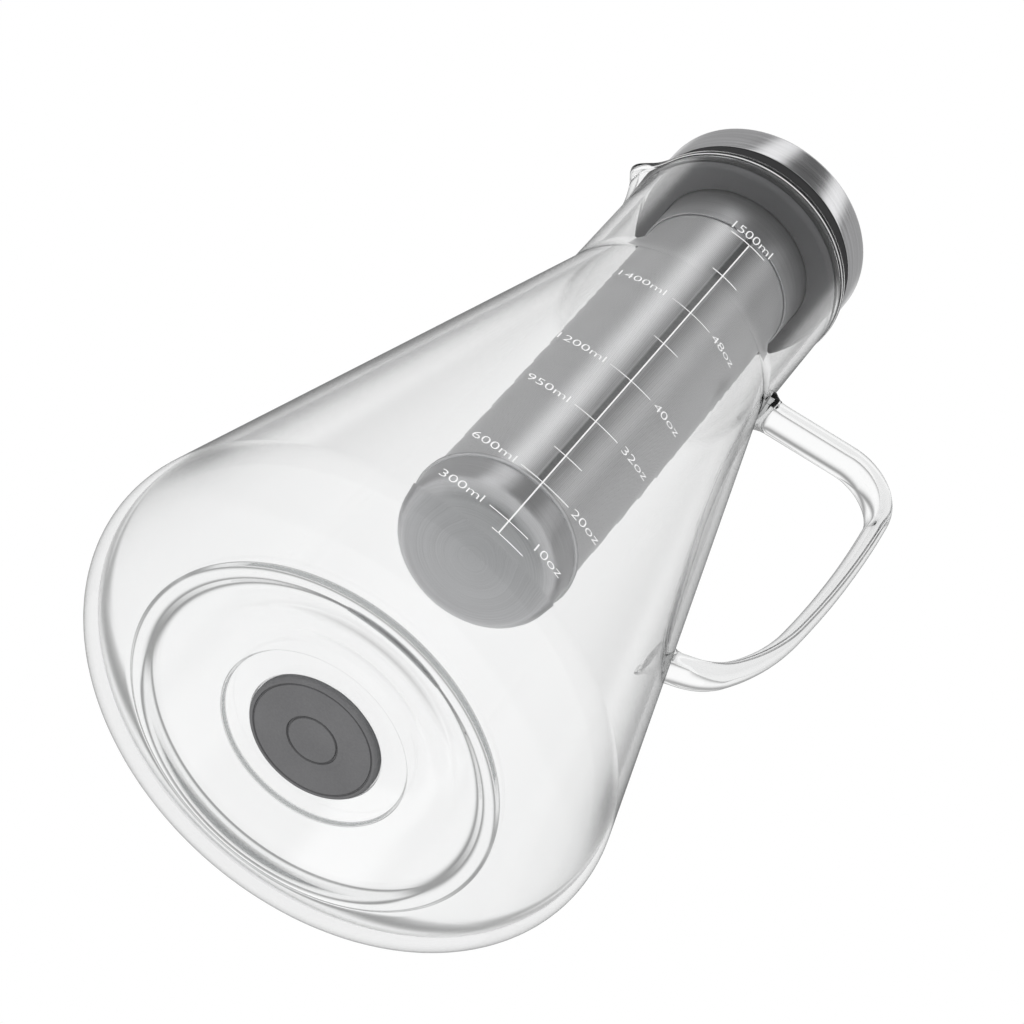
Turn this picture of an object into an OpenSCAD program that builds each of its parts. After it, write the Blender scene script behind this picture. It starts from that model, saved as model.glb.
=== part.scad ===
// Cold brew jug: a blown glass carafe with a fused strap handle, a steel-capped stopper
// and a mesh filter that screws up into the stopper and hangs in the carafe.
// The origin is on the carafe's axis, in the plane that its foot ring stands on.
// +Z is up, +X points at the handle and -X at the spout. Lengths are in millimetres.

/* [Carafe] */
// Widest diameter of the carafe
body_d = 140; // [116:1:180]
// Height of the widest point, where the heel turns into the cone
belly_z = 17; // [14:0.5:21]
// Height of the glass rim
carafe_h = 237; // [197:0.5:285]
// Outer diameter of the neck
neck_d = 65; // [54:0.5:78]
// Height at which the cone's line meets the neck's line
shoulder_z = 185.3; // [154:0.1:223]
// Radius of the soft bend between cone and neck
shoulder_r = 25; // [15:1:40]
// Thickness of the blown wall
wall = 2.4; // [2:0.1:3]
// Radius of the fire-polished edges of the rim
rim_edge_r = 0.9; // [0.4:0.1:0.9]
// Height of the inner floor above the table, next to the heel
floor_z = 5.6; // [5:0.1:7]
// Rise of the inner floor towards the axis
floor_rise = 0.6; // [0.3:0.1:1]

/* [Foot] */
// Outer diameter of the foot ring
foot_d = 98.2; // [81:0.2:105]
// Width of the foot ring
foot_w = 4.9; // [4:0.1:6]
// Width of the flat land that stands on the table
foot_land = 2.2; // [1.8:0.1:2.6]
// Height of the foot ring below the base
foot_h = 2; // [1.6:0.1:2.4]
// Height of the crease where the foot ring's outside meets the heel
heel_z = 1; // [0.8:0.1:1.2]
// Diameter of the step ring in the middle of the base
step_d = 49.6; // [45:0.2:60]
// Depth of the step inside that ring
step_h = 0.6; // [0.4:0.1:0.8]

/* [Base pad] */
// Diameter of the silicone pad
pad_d = 34.2; // [28:0.2:41]
// Thickness of the silicone pad
pad_t = 2.2; // [1.8:0.1:2.6]
// Depth of the round seat that the pad is bonded in
pad_seat_h = 0.8; // [0.6:0.1:1]
// Gap around the pad in its seat
pad_gap = 0.3; // [0.1:0.1:0.5]
// Bevel around the pad's lower edge
pad_bevel = 0.6; // [0.3:0.1:0.8]
// Diameter of the groove ring in the pad's underside
pad_groove_d = 13.8; // [11:0.2:17]
// Width of that groove
pad_groove_w = 0.7; // [0.5:0.1:1]
// Depth of that groove
pad_groove_h = 0.4; // [0.3:0.1:0.6]

/* [Spout] */
// How far the spout's tip stands out from the neck
spout_out = 5.5; // [4.5:0.1:6.6]
// Radius of the spout's lip at the rim
spout_r = 5.2; // [4.6:0.1:6]
// Height of the spout below the rim
spout_h = 15.5; // [13:0.5:18]
// Radius at which the spout starts, low on the neck
spout_root_r = 1.5; // [1:0.1:2]
// Lean of the spout away from the neck
spout_lean = 12; // [9:1:15]
// Glass thickness in the spout
spout_wall = 2; // [1.6:0.1:2.3]

/* [Handle] */
// Width of the strap handle
strap_w = 12; // [10:0.5:14]
// Thickness of the strap handle
strap_t = 5; // [4:0.2:6]
// Height of the strap's top root above the shoulder
strap_root_up = 9; // [7:0.5:12]
// Upward slope of the top arm
strap_rise = 14.7; // [10:0.1:18]
// Length of the straight top arm, outside the neck
strap_top_run = 26.8; // [22:0.2:33]
// Bend radius of the top corner
strap_corner_r = 14; // [11:0.5:17]
// Turn of the top corner
strap_corner_turn = 100.7; // [96:0.1:104]
// Bend radius of the long back
strap_back_r = 330; // [275:5:400]
// Turn along the back
strap_back_turn = 9.5; // [8:0.1:11]
// Bend radius below the back
strap_low_r = 70; // [58:1:84]
// Turn below the back
strap_low_turn = 21.5; // [18:0.1:25]
// Bend radius of the bottom corner
strap_heel_r = 23; // [19:0.5:28]
// Turn of the bottom corner
strap_heel_turn = 33; // [28:0.5:39]

/* [Lid] */
// Height of the steel cap
cap_h = 11.3; // [9.4:0.1:13.6]
// Thickness of the cap's steel
cap_wall = 0.8; // [0.6:0.1:1]
// How far the cap's edge is set in from the neck's outside
cap_inset = 0.7; // [0.3:0.1:1.2]
// Outer radius of the cap's top edge
cap_edge_r = 1.4; // [1:0.1:2]
// Thickness of the gasket between cap and rim
gasket_t = 4.7; // [3.9:0.1:5.6]
// How far the gasket's edge is set in from the cap's outside
gasket_inset = 0.3; // [0.2:0.1:0.6]
// Depth of the stopper below the rim
stopper_h = 6.3; // [5.3:0.1:7.5]
// Width of the stopper's ring between its outside and the filter's collar
stopper_ring = 7.2; // [6.6:0.1:8.6]
// Round along the stopper's lower edge
stopper_edge_r = 1; // [0.6:0.1:1.4]
// Thickness of the lip under the core's hub
stopper_lip_t = 1.3; // [1:0.1:1.5]
// Gap between stopper and neck
stopper_gap = 0.3; // [0.2:0.05:0.4]
// Thickness of the ring that seals the stopper in the neck
seal_d = 2.4; // [2:0.1:2.8]
// Running gap between that ring and the glass
seal_gap = 0.06; // [0.03:0.01:0.1]
// Wall of the core's hub, around the screw socket
hub_wall = 3.3; // [2.8:0.1:3.6]
// Wall of the core's outer skirt
skirt_wall = 1.6; // [1.2:0.1:2]
// Thickness of the core's top and of its socket roof
core_t = 2; // [1.6:0.1:2.4]
// Thickness of the ribs between hub and skirt
rib_t = 1.2; // [1:0.1:1.6]
// Number of ribs
rib_count = 8; // [6:1:12]

/* [Filter] */
// Length of the filter below the stopper
filter_h = 152.1; // [126:0.1:183]
// Length of collar that shows below the stopper
collar_show = 13.2; // [11:0.1:16]
// Length of collar that is screwed into the stopper
screw_depth = 11.8; // [10:0.1:12.5]
// Thickness of the collar's steel
collar_wall = 0.5; // [0.4:0.1:0.8]
// Width of the lip turned in at the collar's top
collar_lip = 2; // [1.5:0.1:2.5]
// Thickness of the seal ring on the collar's lip
ring_t = 1.6; // [1.2:0.1:2]
// Depth of the seal ring's skirt inside the lip
ring_skirt_h = 1.4; // [1:0.1:1.8]
// Thickness of the seal ring's skirt
ring_skirt_t = 0.8; // [0.6:0.1:1.2]
// Thickness of the mesh sheet
mesh_t = 0.4; // [0.3:0.1:0.6]
// Overlap of mesh and collar
mesh_lap = 12; // [8:0.5:14]
// Width of the welded seam strip along the mesh
seam_w = 3; // [2:0.1:4]
// Thickness of the seam strip
seam_t = 0.4; // [0.3:0.1:0.6]
// Height of the bottom cup
cup_h = 12; // [10:0.5:15]
// Thickness of the cup's steel
cup_wall = 0.6; // [0.5:0.1:0.8]
// Outer radius of the cup's bottom edge
cup_edge_r = 5.5; // [4.5:0.1:6.6]
// Radius of the bead rolled along the cup's top edge
bead_r = 0.7; // [0.5:0.1:0.9]

/* [Fits] */
// Running gap around the collar in its screw socket
thread_gap = 0.1; // [0.05:0.01:0.1]
// Clearance around the collar at the stopper's lip
lip_gap = 0.3; // [0.2:0.05:0.5]
// Gap between pieces that are pushed or bonded together
snug_gap = 0.05; // [0.02:0.01:0.08]

/* [Hidden] */
$fn = 128;

body_r = body_d / 2;
neck_r = neck_d / 2;
bore_r = neck_r - wall;
foot_r = foot_d / 2;
pad_r = pad_d / 2;

// The heel is a quarter ellipse from the foot ring's crease to the widest point. It runs on
// past that point until it has the cone's slope.
heel_a = body_r - foot_r;
heel_b = belly_z - heel_z;
cone_slope = (body_r - neck_r) / (shoulder_z - belly_z);
cone_angle = atan(cone_slope);
heel_end = atan(cone_slope * heel_b / heel_a);
inner_a = heel_a - wall;
inner_b = belly_z - floor_z;
straight_z = shoulder_z + shoulder_r * tan(cone_angle / 2);

// Heights in the base, from the table up
base_z = foot_h;
inner_base_z = base_z + step_h;
pad_seat_z = inner_base_z + pad_seat_h;
pad_z = pad_seat_z - pad_t;

// Heights and radii in the lid
cap_r = neck_r - cap_inset;
cap_bore_r = cap_r - cap_wall;
gasket_r = cap_r - gasket_inset;
cap_z = carafe_h + gasket_t;
cap_roof_z = cap_z + cap_h - cap_wall;
stopper_r = bore_r - stopper_gap;
stopper_z = carafe_h - stopper_h;
collar_r = stopper_r - stopper_ring;
socket_r = collar_r + thread_gap;
hub_r = socket_r + hub_wall;
sleeve_r = hub_r + snug_gap;
core_r = cap_bore_r - snug_gap;
hub_z = stopper_z + stopper_lip_t;
collar_z = stopper_z + screw_depth;
socket_roof_z = collar_z + ring_t;
seal_r = bore_r - seal_gap - seal_d / 2;
seal_z = (stopper_z + stopper_edge_r + carafe_h) / 2;
groove_r = seal_r - seal_d / 2 - snug_gap;
groove_h = seal_d + 2 * snug_gap;

// Heights and radii in the filter
collar_low_z = stopper_z - collar_show;
mesh_r = collar_r - collar_wall - snug_gap;
cup_bore_r = mesh_r + snug_gap;
cup_r = cup_bore_r + cup_wall;
cup_z = stopper_z - filter_h;
cup_top_z = cup_z + cup_h;

// Points on an ellipse about (x, z), from one angle to another
function arc(x, z, a, b, from, to, steps = 8) =
    [for (i = [0:steps]) let (t = from + (to - from) * i / steps) [x + a * cos(t), z + b * sin(t)]];

// Outside of the glass from the heel's crease to the neck's outer edge
outside = concat(
    arc(foot_r, belly_z, heel_a, heel_b, -90, heel_end, 14),
    arc(neck_r + shoulder_r, straight_z, shoulder_r, shoulder_r, 180 + cone_angle, 180, 6));

// The inside runs back down, one wall further in
inside = concat(
    arc(neck_r + shoulder_r, straight_z, shoulder_r + wall, shoulder_r + wall, 180, 180 + cone_angle, 6),
    arc(foot_r, belly_z, inner_a, inner_b, heel_end, -90, 14));

rim = concat(
    arc(neck_r - rim_edge_r, carafe_h - rim_edge_r, rim_edge_r, rim_edge_r, 0, 90, 4),
    arc(bore_r + rim_edge_r, carafe_h - rim_edge_r, rim_edge_r, rim_edge_r, 90, 180, 4));

// Underside of the base from the axis out to the heel's crease
land_in = foot_r - foot_w / 2 - foot_land / 2;
land_out = land_in + foot_land;
underside = [
    [0, pad_seat_z], [pad_r + pad_gap, pad_seat_z], [pad_r + pad_gap, inner_base_z],
    [step_d / 2, inner_base_z], [step_d / 2, base_z], [foot_r - foot_w, base_z],
    [land_in, 0], [land_out, 0]];

module revolve(points) {
    rotate_extrude() polygon(points);
}

module tube(r_out, r_in, z_low, z_high) {
    revolve([[r_in, z_low], [r_out, z_low], [r_out, z_high], [r_in, z_high]]);
}

// Cone of the spout, leaning out of the neck. inset takes the wall off for the channel.
module spout_cone(inset) {
    slope = (spout_r - spout_root_r) / spout_h;
    start = inset / slope;
    overshoot = 4;
    length = spout_h + overshoot - start;
    root_x = neck_r + spout_out - spout_r - spout_h * tan(spout_lean);
    translate([-root_x, 0, carafe_h - spout_h])
        rotate([0, -spout_lean, 0])
            translate([0, 0, start])
                cylinder(h = length, r1 = max(spout_root_r - inset + start * slope, 0.05),
                         r2 = spout_r - inset + overshoot * slope);
}

module above_rim() {
    tall = 20;
    translate([0, 0, carafe_h + tall / 2]) cube([4 * neck_r, 4 * neck_r, tall], center = true);
}

module glass_body() {
    color([0.86, 0.91, 0.92, 0.4])
        difference() {
            union() {
                revolve(concat(underside, outside, rim, inside, [[0, floor_z + floor_rise]]));
                difference() {
                    spout_cone(0);
                    above_rim();
                    cylinder(h = carafe_h + 1, r = bore_r + wall / 2);
                }
            }
            intersection() {
                spout_cone(spout_wall);
                translate([-body_r, -body_r, carafe_h - spout_h])
                    cube([body_r, body_d, spout_h + 1]);
            }
        }
}

// The strap's route lies in the XZ plane. A station on it is [x, z, heading], and the route
// turns clockwise as it goes down the back.
function straight_on(at, length) =
    [at[0] + length * cos(at[2]), at[1] + length * sin(at[2]), at[2]];
function round_bend(at, radius, turn) =
    let (chord = 2 * radius * sin(turn / 2), way = at[2] - turn / 2)
    [at[0] + chord * cos(way), at[1] + chord * sin(way), at[2] - turn];
function bend_steps(at, radius, turn, steps) =
    [for (i = [1:steps]) round_bend(at, radius, turn * i / steps)];

// Both ends run on into the carafe and are cut off at its outside
strap_buried = 12;
strap_root = [neck_r, shoulder_z + strap_root_up, strap_rise];
corner_start = straight_on(strap_root, strap_top_run);
back_start = round_bend(corner_start, strap_corner_r, strap_corner_turn);
low_start = round_bend(back_start, strap_back_r, strap_back_turn);
heel_start = round_bend(low_start, strap_low_r, strap_low_turn);
heel_stop = round_bend(heel_start, strap_heel_r, strap_heel_turn);
strap_stations = concat(
    [straight_on(strap_root, -strap_buried), corner_start],
    bend_steps(corner_start, strap_corner_r, strap_corner_turn, 14),
    bend_steps(back_start, strap_back_r, strap_back_turn, 5),
    bend_steps(low_start, strap_low_r, strap_low_turn, 5),
    bend_steps(heel_start, strap_heel_r, strap_heel_turn, 6),
    [straight_on(heel_stop, heel_stop[0] - foot_r / 2)]);

// Flattened section of the strap as [thickness, width] from its middle
strap_section = concat(
    arc(0, (strap_w - strap_t) / 2, strap_t / 2, strap_t / 2, 0, 180, 8),
    arc(0, (strap_t - strap_w) / 2, strap_t / 2, strap_t / 2, 180, 360, 8));

// Closed skin over rings of equal length, each ring a loop of points
module skin(rings) {
    count = len(rings[0]);
    last = len(rings) - 1;
    sides = [for (i = [0:last - 1]) for (j = [0:count - 1])
        let (k = (j + 1) % count)
        [i * count + j, i * count + k, (i + 1) * count + k, (i + 1) * count + j]];
    polyhedron(
        points = [for (ring = rings) each ring],
        faces = concat([[for (j = [count - 1:-1:0]) j]], sides,
                       [[for (j = [0:count - 1]) last * count + j]]));
}

module strap() {
    skin([for (at = strap_stations)
        [for (p = strap_section) [at[0] - p[0] * sin(at[2]), p[1], at[1] + p[0] * cos(at[2])]]]);
}

module glass_handle() {
    color([0.86, 0.91, 0.92, 0.4])
        difference() {
            strap();
            revolve(concat([[0, 0], [foot_r, 0]], outside, [[neck_r, carafe_h], [0, carafe_h]]));
        }
}

module base_pad() {
    groove_r = pad_groove_d / 2;
    color([0.36, 0.36, 0.37])
        revolve([
            [0, pad_z], [groove_r - pad_groove_w, pad_z],
            [groove_r - pad_groove_w, pad_z + pad_groove_h], [groove_r, pad_z + pad_groove_h],
            [groove_r, pad_z], [pad_r - pad_bevel, pad_z], [pad_r, pad_z + pad_bevel],
            [pad_r, pad_seat_z], [0, pad_seat_z]]);
}

module lid_cap() {
    bend_r = cap_edge_r - cap_wall;
    top_z = cap_z + cap_h;
    color([0.72, 0.72, 0.73])
        revolve(concat(
            [[cap_bore_r, cap_z], [cap_r, cap_z]],
            arc(cap_r - cap_edge_r, top_z - cap_edge_r, cap_edge_r, cap_edge_r, 0, 90, 6),
            [[0, top_z], [0, cap_roof_z]],
            arc(cap_r - cap_edge_r, top_z - cap_edge_r, bend_r, bend_r, 90, 0, 6)));
}

module lid_core() {
    well_r = socket_r - skirt_wall;
    under_z = cap_roof_z - core_t;
    color([0.27, 0.27, 0.28]) {
        revolve([
            [0, socket_roof_z], [socket_r, socket_roof_z], [socket_r, hub_z], [hub_r, hub_z],
            [hub_r, under_z], [core_r - skirt_wall, under_z], [core_r - skirt_wall, cap_z],
            [core_r, cap_z], [core_r, cap_roof_z - cap_edge_r], [core_r - cap_edge_r, cap_roof_z],
            [well_r, cap_roof_z], [well_r, socket_roof_z + core_t], [0, socket_roof_z + core_t]]);
        for (i = [0:rib_count - 1])
            rotate([0, 0, i * 360 / rib_count])
                translate([hub_r - skirt_wall / 2, -rib_t / 2, cap_z + rib_t])
                    cube([core_r - hub_r, rib_t, under_z - cap_z]);
    }
}

module rim_gasket() {
    color([0.18, 0.18, 0.19]) tube(gasket_r, sleeve_r, carafe_h, cap_z);
}

module stopper() {
    color([0.33, 0.33, 0.34])
        revolve(concat(
            [[collar_r + lip_gap, stopper_z]],
            arc(stopper_r - stopper_edge_r, stopper_z + stopper_edge_r,
                stopper_edge_r, stopper_edge_r, -90, 0, 5),
            [[stopper_r, seal_z - groove_h / 2], [groove_r, seal_z - groove_h / 2],
             [groove_r, seal_z + groove_h / 2], [stopper_r, seal_z + groove_h / 2],
             [stopper_r, carafe_h], [sleeve_r, carafe_h],
             [sleeve_r, hub_z], [collar_r + lip_gap, hub_z]]));
}

module stopper_seal() {
    color([0.2, 0.2, 0.21])
        rotate_extrude() translate([seal_r, seal_z]) circle(r = seal_d / 2, $fn = 48);
}

module collar_seal() {
    lip_r = collar_r - collar_lip - snug_gap;
    color([0.3, 0.3, 0.31])
        revolve([
            [lip_r - ring_skirt_t, collar_z - ring_skirt_h], [lip_r, collar_z - ring_skirt_h],
            [lip_r, collar_z], [collar_r - thread_gap, collar_z],
            [collar_r - thread_gap, socket_roof_z], [lip_r - ring_skirt_t, socket_roof_z]]);
}

module filter_collar() {
    tube_r = collar_r - collar_wall;
    color([0.62, 0.62, 0.63])
        revolve([
            [tube_r, collar_low_z], [collar_r, collar_low_z], [collar_r, collar_z],
            [collar_r - collar_lip, collar_z], [collar_r - collar_lip, collar_z - collar_wall],
            [tube_r, collar_z - collar_wall]]);
}

module filter_mesh() {
    color([0.55, 0.55, 0.56])
        tube(mesh_r, mesh_r - mesh_t, cup_z + cup_edge_r, collar_low_z + mesh_lap);
}

// The strip covers the lap weld along the mesh, on the side away from +Y
module filter_seam() {
    half_turn = asin(seam_w / 2 / mesh_r);
    low_z = cup_top_z + bead_r + snug_gap;
    color([0.4, 0.4, 0.41])
        rotate([0, 0, -90 - half_turn])
            rotate_extrude(angle = 2 * half_turn)
                translate([mesh_r + snug_gap / 2, low_z])
                    square([seam_t, collar_low_z - snug_gap - low_z]);
}

module filter_cup() {
    color([0.66, 0.66, 0.67]) {
        revolve(concat(
            [[0, cup_z]],
            arc(cup_r - cup_edge_r, cup_z + cup_edge_r, cup_edge_r, cup_edge_r, -90, 0, 6),
            [[cup_r, cup_top_z], [cup_bore_r, cup_top_z]],
            arc(cup_r - cup_edge_r, cup_z + cup_edge_r,
                cup_edge_r - cup_wall, cup_edge_r - cup_wall, 0, -90, 6),
            [[0, cup_z + cup_wall]]));
        rotate_extrude() translate([cup_r, cup_top_z]) intersection() {
            circle(r = bead_r, $fn = 32);
            translate([-cup_wall, -bead_r]) square(2 * bead_r);
        }
    }
}

glass_body();
glass_handle();
base_pad();
lid_cap();
lid_core();
rim_gasket();
stopper();
stopper_seal();
collar_seal();
filter_collar();
filter_mesh();
filter_seam();
filter_cup();
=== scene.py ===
import math

import bmesh
import bpy
from mathutils import Matrix, Vector


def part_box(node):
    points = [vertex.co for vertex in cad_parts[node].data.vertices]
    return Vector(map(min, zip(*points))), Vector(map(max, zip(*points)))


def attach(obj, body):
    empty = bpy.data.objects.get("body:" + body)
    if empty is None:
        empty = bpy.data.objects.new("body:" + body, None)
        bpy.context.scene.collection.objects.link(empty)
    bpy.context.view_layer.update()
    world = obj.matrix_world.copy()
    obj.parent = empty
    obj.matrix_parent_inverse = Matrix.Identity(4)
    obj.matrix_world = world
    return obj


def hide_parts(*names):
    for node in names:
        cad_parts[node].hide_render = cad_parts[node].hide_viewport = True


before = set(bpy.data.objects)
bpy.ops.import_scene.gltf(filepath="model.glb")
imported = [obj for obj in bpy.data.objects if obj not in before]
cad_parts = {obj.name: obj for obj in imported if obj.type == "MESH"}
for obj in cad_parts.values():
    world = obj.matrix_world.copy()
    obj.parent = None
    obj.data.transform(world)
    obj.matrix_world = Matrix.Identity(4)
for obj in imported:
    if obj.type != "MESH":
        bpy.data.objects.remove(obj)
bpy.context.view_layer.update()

# ---- Carafe and handle ------------------------------------------------------------------
# Clear borosilicate glass, blown into a cone with a foot ring and a thick rim, with a spout
# pinched out of the rim while it was hot. The strap handle is a flattened glass rod, fused
# on at the neck and low on the cone, so the two are one piece of glass here.
MM = 0.001
FULL_TURN = 2 * math.pi
BELLY_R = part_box("glass_body")[1].y / MM
FOOT_R = 49.1
BELLY_Z = 17
HEEL_HEIGHT = 16
HEEL_START = math.radians(-86)
HEEL_END = math.radians(9.68)
INNER_HEEL = (47.3, 18.7)
INNER_HEEL_R = 19.85
INNER_HEEL_HEIGHT = 14.7
CONE_ANGLE = math.radians(12.56)
SHOULDER = (57.5, 188.05)
SHOULDER_R = 25
INNER_SHOULDER_R = SHOULDER_R + 2.4
NECK_R = 32.5
BORE_R = 30.1
RIM_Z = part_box("glass_body")[1].z / MM
RIM_EDGE_R = 0.9
RIM_EDGE_Z = RIM_Z - RIM_EDGE_R
BEAD_OUT_R = NECK_R + 0.45
BEAD_LOW_Z = RIM_Z - 3.1
BEAD_FULL_Z = RIM_Z - 2.2


def draw_arc(shape, x, z, radius, height, start, end, steps):
    """Spin one point round (x, z) in the XZ plane, and squeeze its arc to an ellipse."""
    first = shape.verts.new((x + radius * math.cos(start), 0, z + radius * math.sin(start)))
    before = set(shape.verts)
    spun = bmesh.ops.spin(
        shape, geom=[first], cent=(x, 0, z), axis=(0, -1, 0), angle=end - start, steps=steps
    )
    points = [first] + [point for point in shape.verts if point not in before]
    middle = Matrix.Translation((-x, 0, -z))
    bmesh.ops.scale(shape, vec=(1, 1, height / radius), space=middle, verts=points)
    return first, spun["geom_last"][0]


def draw_outline(outline, closed=False):
    """Join corners (x, z) or (x, z, rounding) and arcs into one wire in the XZ plane."""
    shape = bmesh.new()
    runs = []
    rounded = []
    for part in outline:
        if len(part) > 3:
            runs.append(draw_arc(shape, *part))
            continue
        corner = shape.verts.new((part[0], 0, part[1]))
        runs.append((corner, corner))
        if len(part) == 3:
            rounded.append((corner, part[2]))
    for (_, last), (first, _) in zip(runs, runs[1:]):
        shape.edges.new((last, first))
    if closed:
        shape.edges.new((runs[-1][1], runs[0][0]))
    for corner, rounding in rounded:
        bmesh.ops.bevel(
            shape,
            geom=[corner],
            affect="VERTICES",
            offset=rounding,
            offset_type="OFFSET",
            segments=5,
            profile=0.5,
            material=-1,
        )
    return shape


def turn(outline, steps, closed=False):
    """Turn an outline round the Z axis, as on a lathe, into a closed shape."""
    shape = draw_outline(outline, closed)
    bmesh.ops.spin(
        shape,
        geom=list(shape.verts) + list(shape.edges),
        cent=(0, 0, 0),
        axis=(0, 0, 1),
        angle=FULL_TURN,
        steps=steps,
        use_merge=True,
    )
    bmesh.ops.remove_doubles(shape, verts=shape.verts, dist=0.0005)
    bmesh.ops.recalc_face_normals(shape, faces=shape.faces)
    return shape


def make_piece(name, shape, finish, sharp=35):
    """Make an object of a shape drawn in millimetres, smooth but for its sharp edges."""
    bmesh.ops.scale(shape, vec=(MM, MM, MM), verts=shape.verts)
    mesh = bpy.data.meshes.new(name)
    shape.to_mesh(mesh)
    shape.free()
    mesh.shade_smooth()
    mesh.set_sharp_from_angle(angle=math.radians(sharp))
    mesh.materials.append(finish)
    made = bpy.data.objects.new(name, mesh)
    bpy.context.scene.collection.objects.link(made)
    return made


def add_node(tree, kind, inputs=None, **settings):
    """Add a shader node, and link or set its inputs."""
    made = tree.nodes.new("ShaderNode" + kind)
    for name, value in settings.items():
        setattr(made, name, value)
    for name, value in (inputs or {}).items():
        if isinstance(value, bpy.types.NodeSocket):
            tree.links.new(value, made.inputs[name])
        else:
            made.inputs[name].default_value = value
    return made


def calculate(tree, operation, *values):
    """One Math node and its result."""
    return add_node(tree, "Math", dict(enumerate(values)), operation=operation).outputs[0]


def off_axis(tree, place):
    """Distance of a place from the Z axis."""
    flat = add_node(tree, "VectorMath", {0: place, 1: (1, 1, 0)}, operation="MULTIPLY")
    away = add_node(tree, "VectorMath", {0: flat.outputs[0]}, operation="LENGTH")
    return away.outputs["Value"]


def new_finish(name):
    """Start a material: its tree, its object coordinates and its output node."""
    finish = bpy.data.materials.new(name)
    finish.use_nodes = True
    tree = finish.node_tree
    tree.nodes.clear()
    place = add_node(tree, "TexCoord").outputs["Object"]
    return finish, tree, place, add_node(tree, "OutputMaterial")


def glass_radius(z):
    """Outside radius of the glass at a height, from the heel's end to the rim."""
    below = SHOULDER[1] - z
    if below <= 0:
        return NECK_R
    arc_drop = SHOULDER_R * math.sin(CONE_ANGLE)
    if below < arc_drop:
        return SHOULDER[0] - math.sqrt(SHOULDER_R**2 - below**2)
    top = SHOULDER[0] - SHOULDER_R * math.cos(CONE_ANGLE)
    heel_x = FOOT_R + (BELLY_R - FOOT_R) * math.cos(HEEL_END)
    heel_z = BELLY_Z + HEEL_HEIGHT * math.sin(HEEL_END)
    return top + (heel_x - top) * (below - arc_drop) / (SHOULDER[1] - arc_drop - heel_z)


carafe_shape = turn(
    [
        (0, 3.4),
        (17.4, 3.4, 0.3),
        (17.4, 2.6, 0.3),
        (24.2, 2.8, 0.2),
        (24.75, 1.6, 0.25),
        (42.4, 2.0, 1.6),
        (45.5, 0, 1.0),
        (47.8, 0, 0.7),
        (FOOT_R, 1.0, 0.3),
        (FOOT_R, BELLY_Z, BELLY_R - FOOT_R, HEEL_HEIGHT, HEEL_START, HEEL_END, 30),
        (*SHOULDER, SHOULDER_R, SHOULDER_R, math.pi + CONE_ANGLE, math.pi, 10),
        (NECK_R, BEAD_LOW_Z, 0.6),
        (BEAD_OUT_R, BEAD_FULL_Z, 0.6),
        (BEAD_OUT_R - RIM_EDGE_R, RIM_EDGE_Z, RIM_EDGE_R, RIM_EDGE_R, 0, math.pi / 2, 6),
        (BORE_R + RIM_EDGE_R, RIM_EDGE_Z, RIM_EDGE_R, RIM_EDGE_R, math.pi / 2, math.pi, 6),
        (*SHOULDER, INNER_SHOULDER_R, INNER_SHOULDER_R, math.pi, math.pi + CONE_ANGLE, 10),
        (*INNER_HEEL, INNER_HEEL_R, INNER_HEEL_HEIGHT, HEEL_END, -math.pi / 2, 30),
        (38.0, 4.9, 2.0),
        (34.5, 5.6, 1.5),
        (31.0, 5.9, 1.2),
        (27.5, 6.5, 1.5),
        (0, 6.6),
    ],
    steps=256,
)

# The spout is drawn out of the rim, both walls together, after cuts that give it points
SPOUT_LOW_Z = RIM_Z - 16
SPOUT_OUT = 5.3
SPOUT_CURVE = 1.4
SPOUT_HALF_WIDTH = 3.2
SPOUT_WIDENING = 2.6
SPOUT_CUTS = 12
SPOUT_CUT_STEP = 1.25
for cut in range(1, SPOUT_CUTS + 1):
    bmesh.ops.bisect_plane(
        carafe_shape,
        geom=list(carafe_shape.verts) + list(carafe_shape.edges) + list(carafe_shape.faces),
        plane_co=(0, 0, SPOUT_LOW_Z + cut * SPOUT_CUT_STEP),
        plane_no=(0, 0, 1),
    )
for point in carafe_shape.verts:
    rise = (point.co.z - SPOUT_LOW_Z) / (RIM_Z - SPOUT_LOW_Z)
    if rise > 0 and point.co.x < 0:
        half_width = SPOUT_HALF_WIDTH + SPOUT_WIDENING * rise
        drawn_out = SPOUT_OUT * rise**SPOUT_CURVE
        point.co.x -= drawn_out * math.exp(-((point.co.y / half_width) ** 2))

# The strap is one section, drawn along its route from the neck to the cone. Its flares are
# rows of length and swell, and its bends are rows of radius, degrees and steps
STRAP_WIDTH = 12
STRAP_THICK = 4.94
ROOT = Vector((NECK_R, 0, 194.3))
ROOT_SINK = 1.3
TOP_RISE = math.radians(14.7)
TOP_SWELL = 1.32
TOP_FLARE = ((1.4, 1.0), (0.8, 0.92), (1.0, 0.91), (1.3, 0.93), (1.5, 0.973))
TOP_RUN = 22.1
BENDS = ((14, 100.7, 28), (330, 9.5, 10), (70, 21.5, 12), (23, 33, 14))
LOW_FLARE = ((1.4, 1.06), (1.1, 1.09), (0.9, 1.1), (ROOT_SINK, 1.0))
LOW_FLARE_REACH = 3.4
CONE_LOW = 60
CONE_HIGH = 160


def heading_way(heading):
    """Direction in the XZ plane at a heading above +X."""
    return Vector((math.cos(heading), 0, math.sin(heading)))


def draw_on(shape, rim, way, length, middle, swell=1.0):
    """Draw the open end of the strap on along its way, and swell it about its middle."""
    drawn = bmesh.ops.extrude_edge_only(shape, edges=rim)["geom"]
    points = [item for item in drawn if isinstance(item, bmesh.types.BMVert)]
    bmesh.ops.translate(shape, verts=points, vec=way * length)
    middle = middle + way * length
    bmesh.ops.scale(
        shape, vec=(swell, swell, swell), space=Matrix.Translation(-middle), verts=points
    )
    edges = {edge for edge in drawn if isinstance(edge, bmesh.types.BMEdge)}
    rim = [edge for edge in edges if all(point in points for point in edge.verts)]
    return rim, middle


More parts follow.
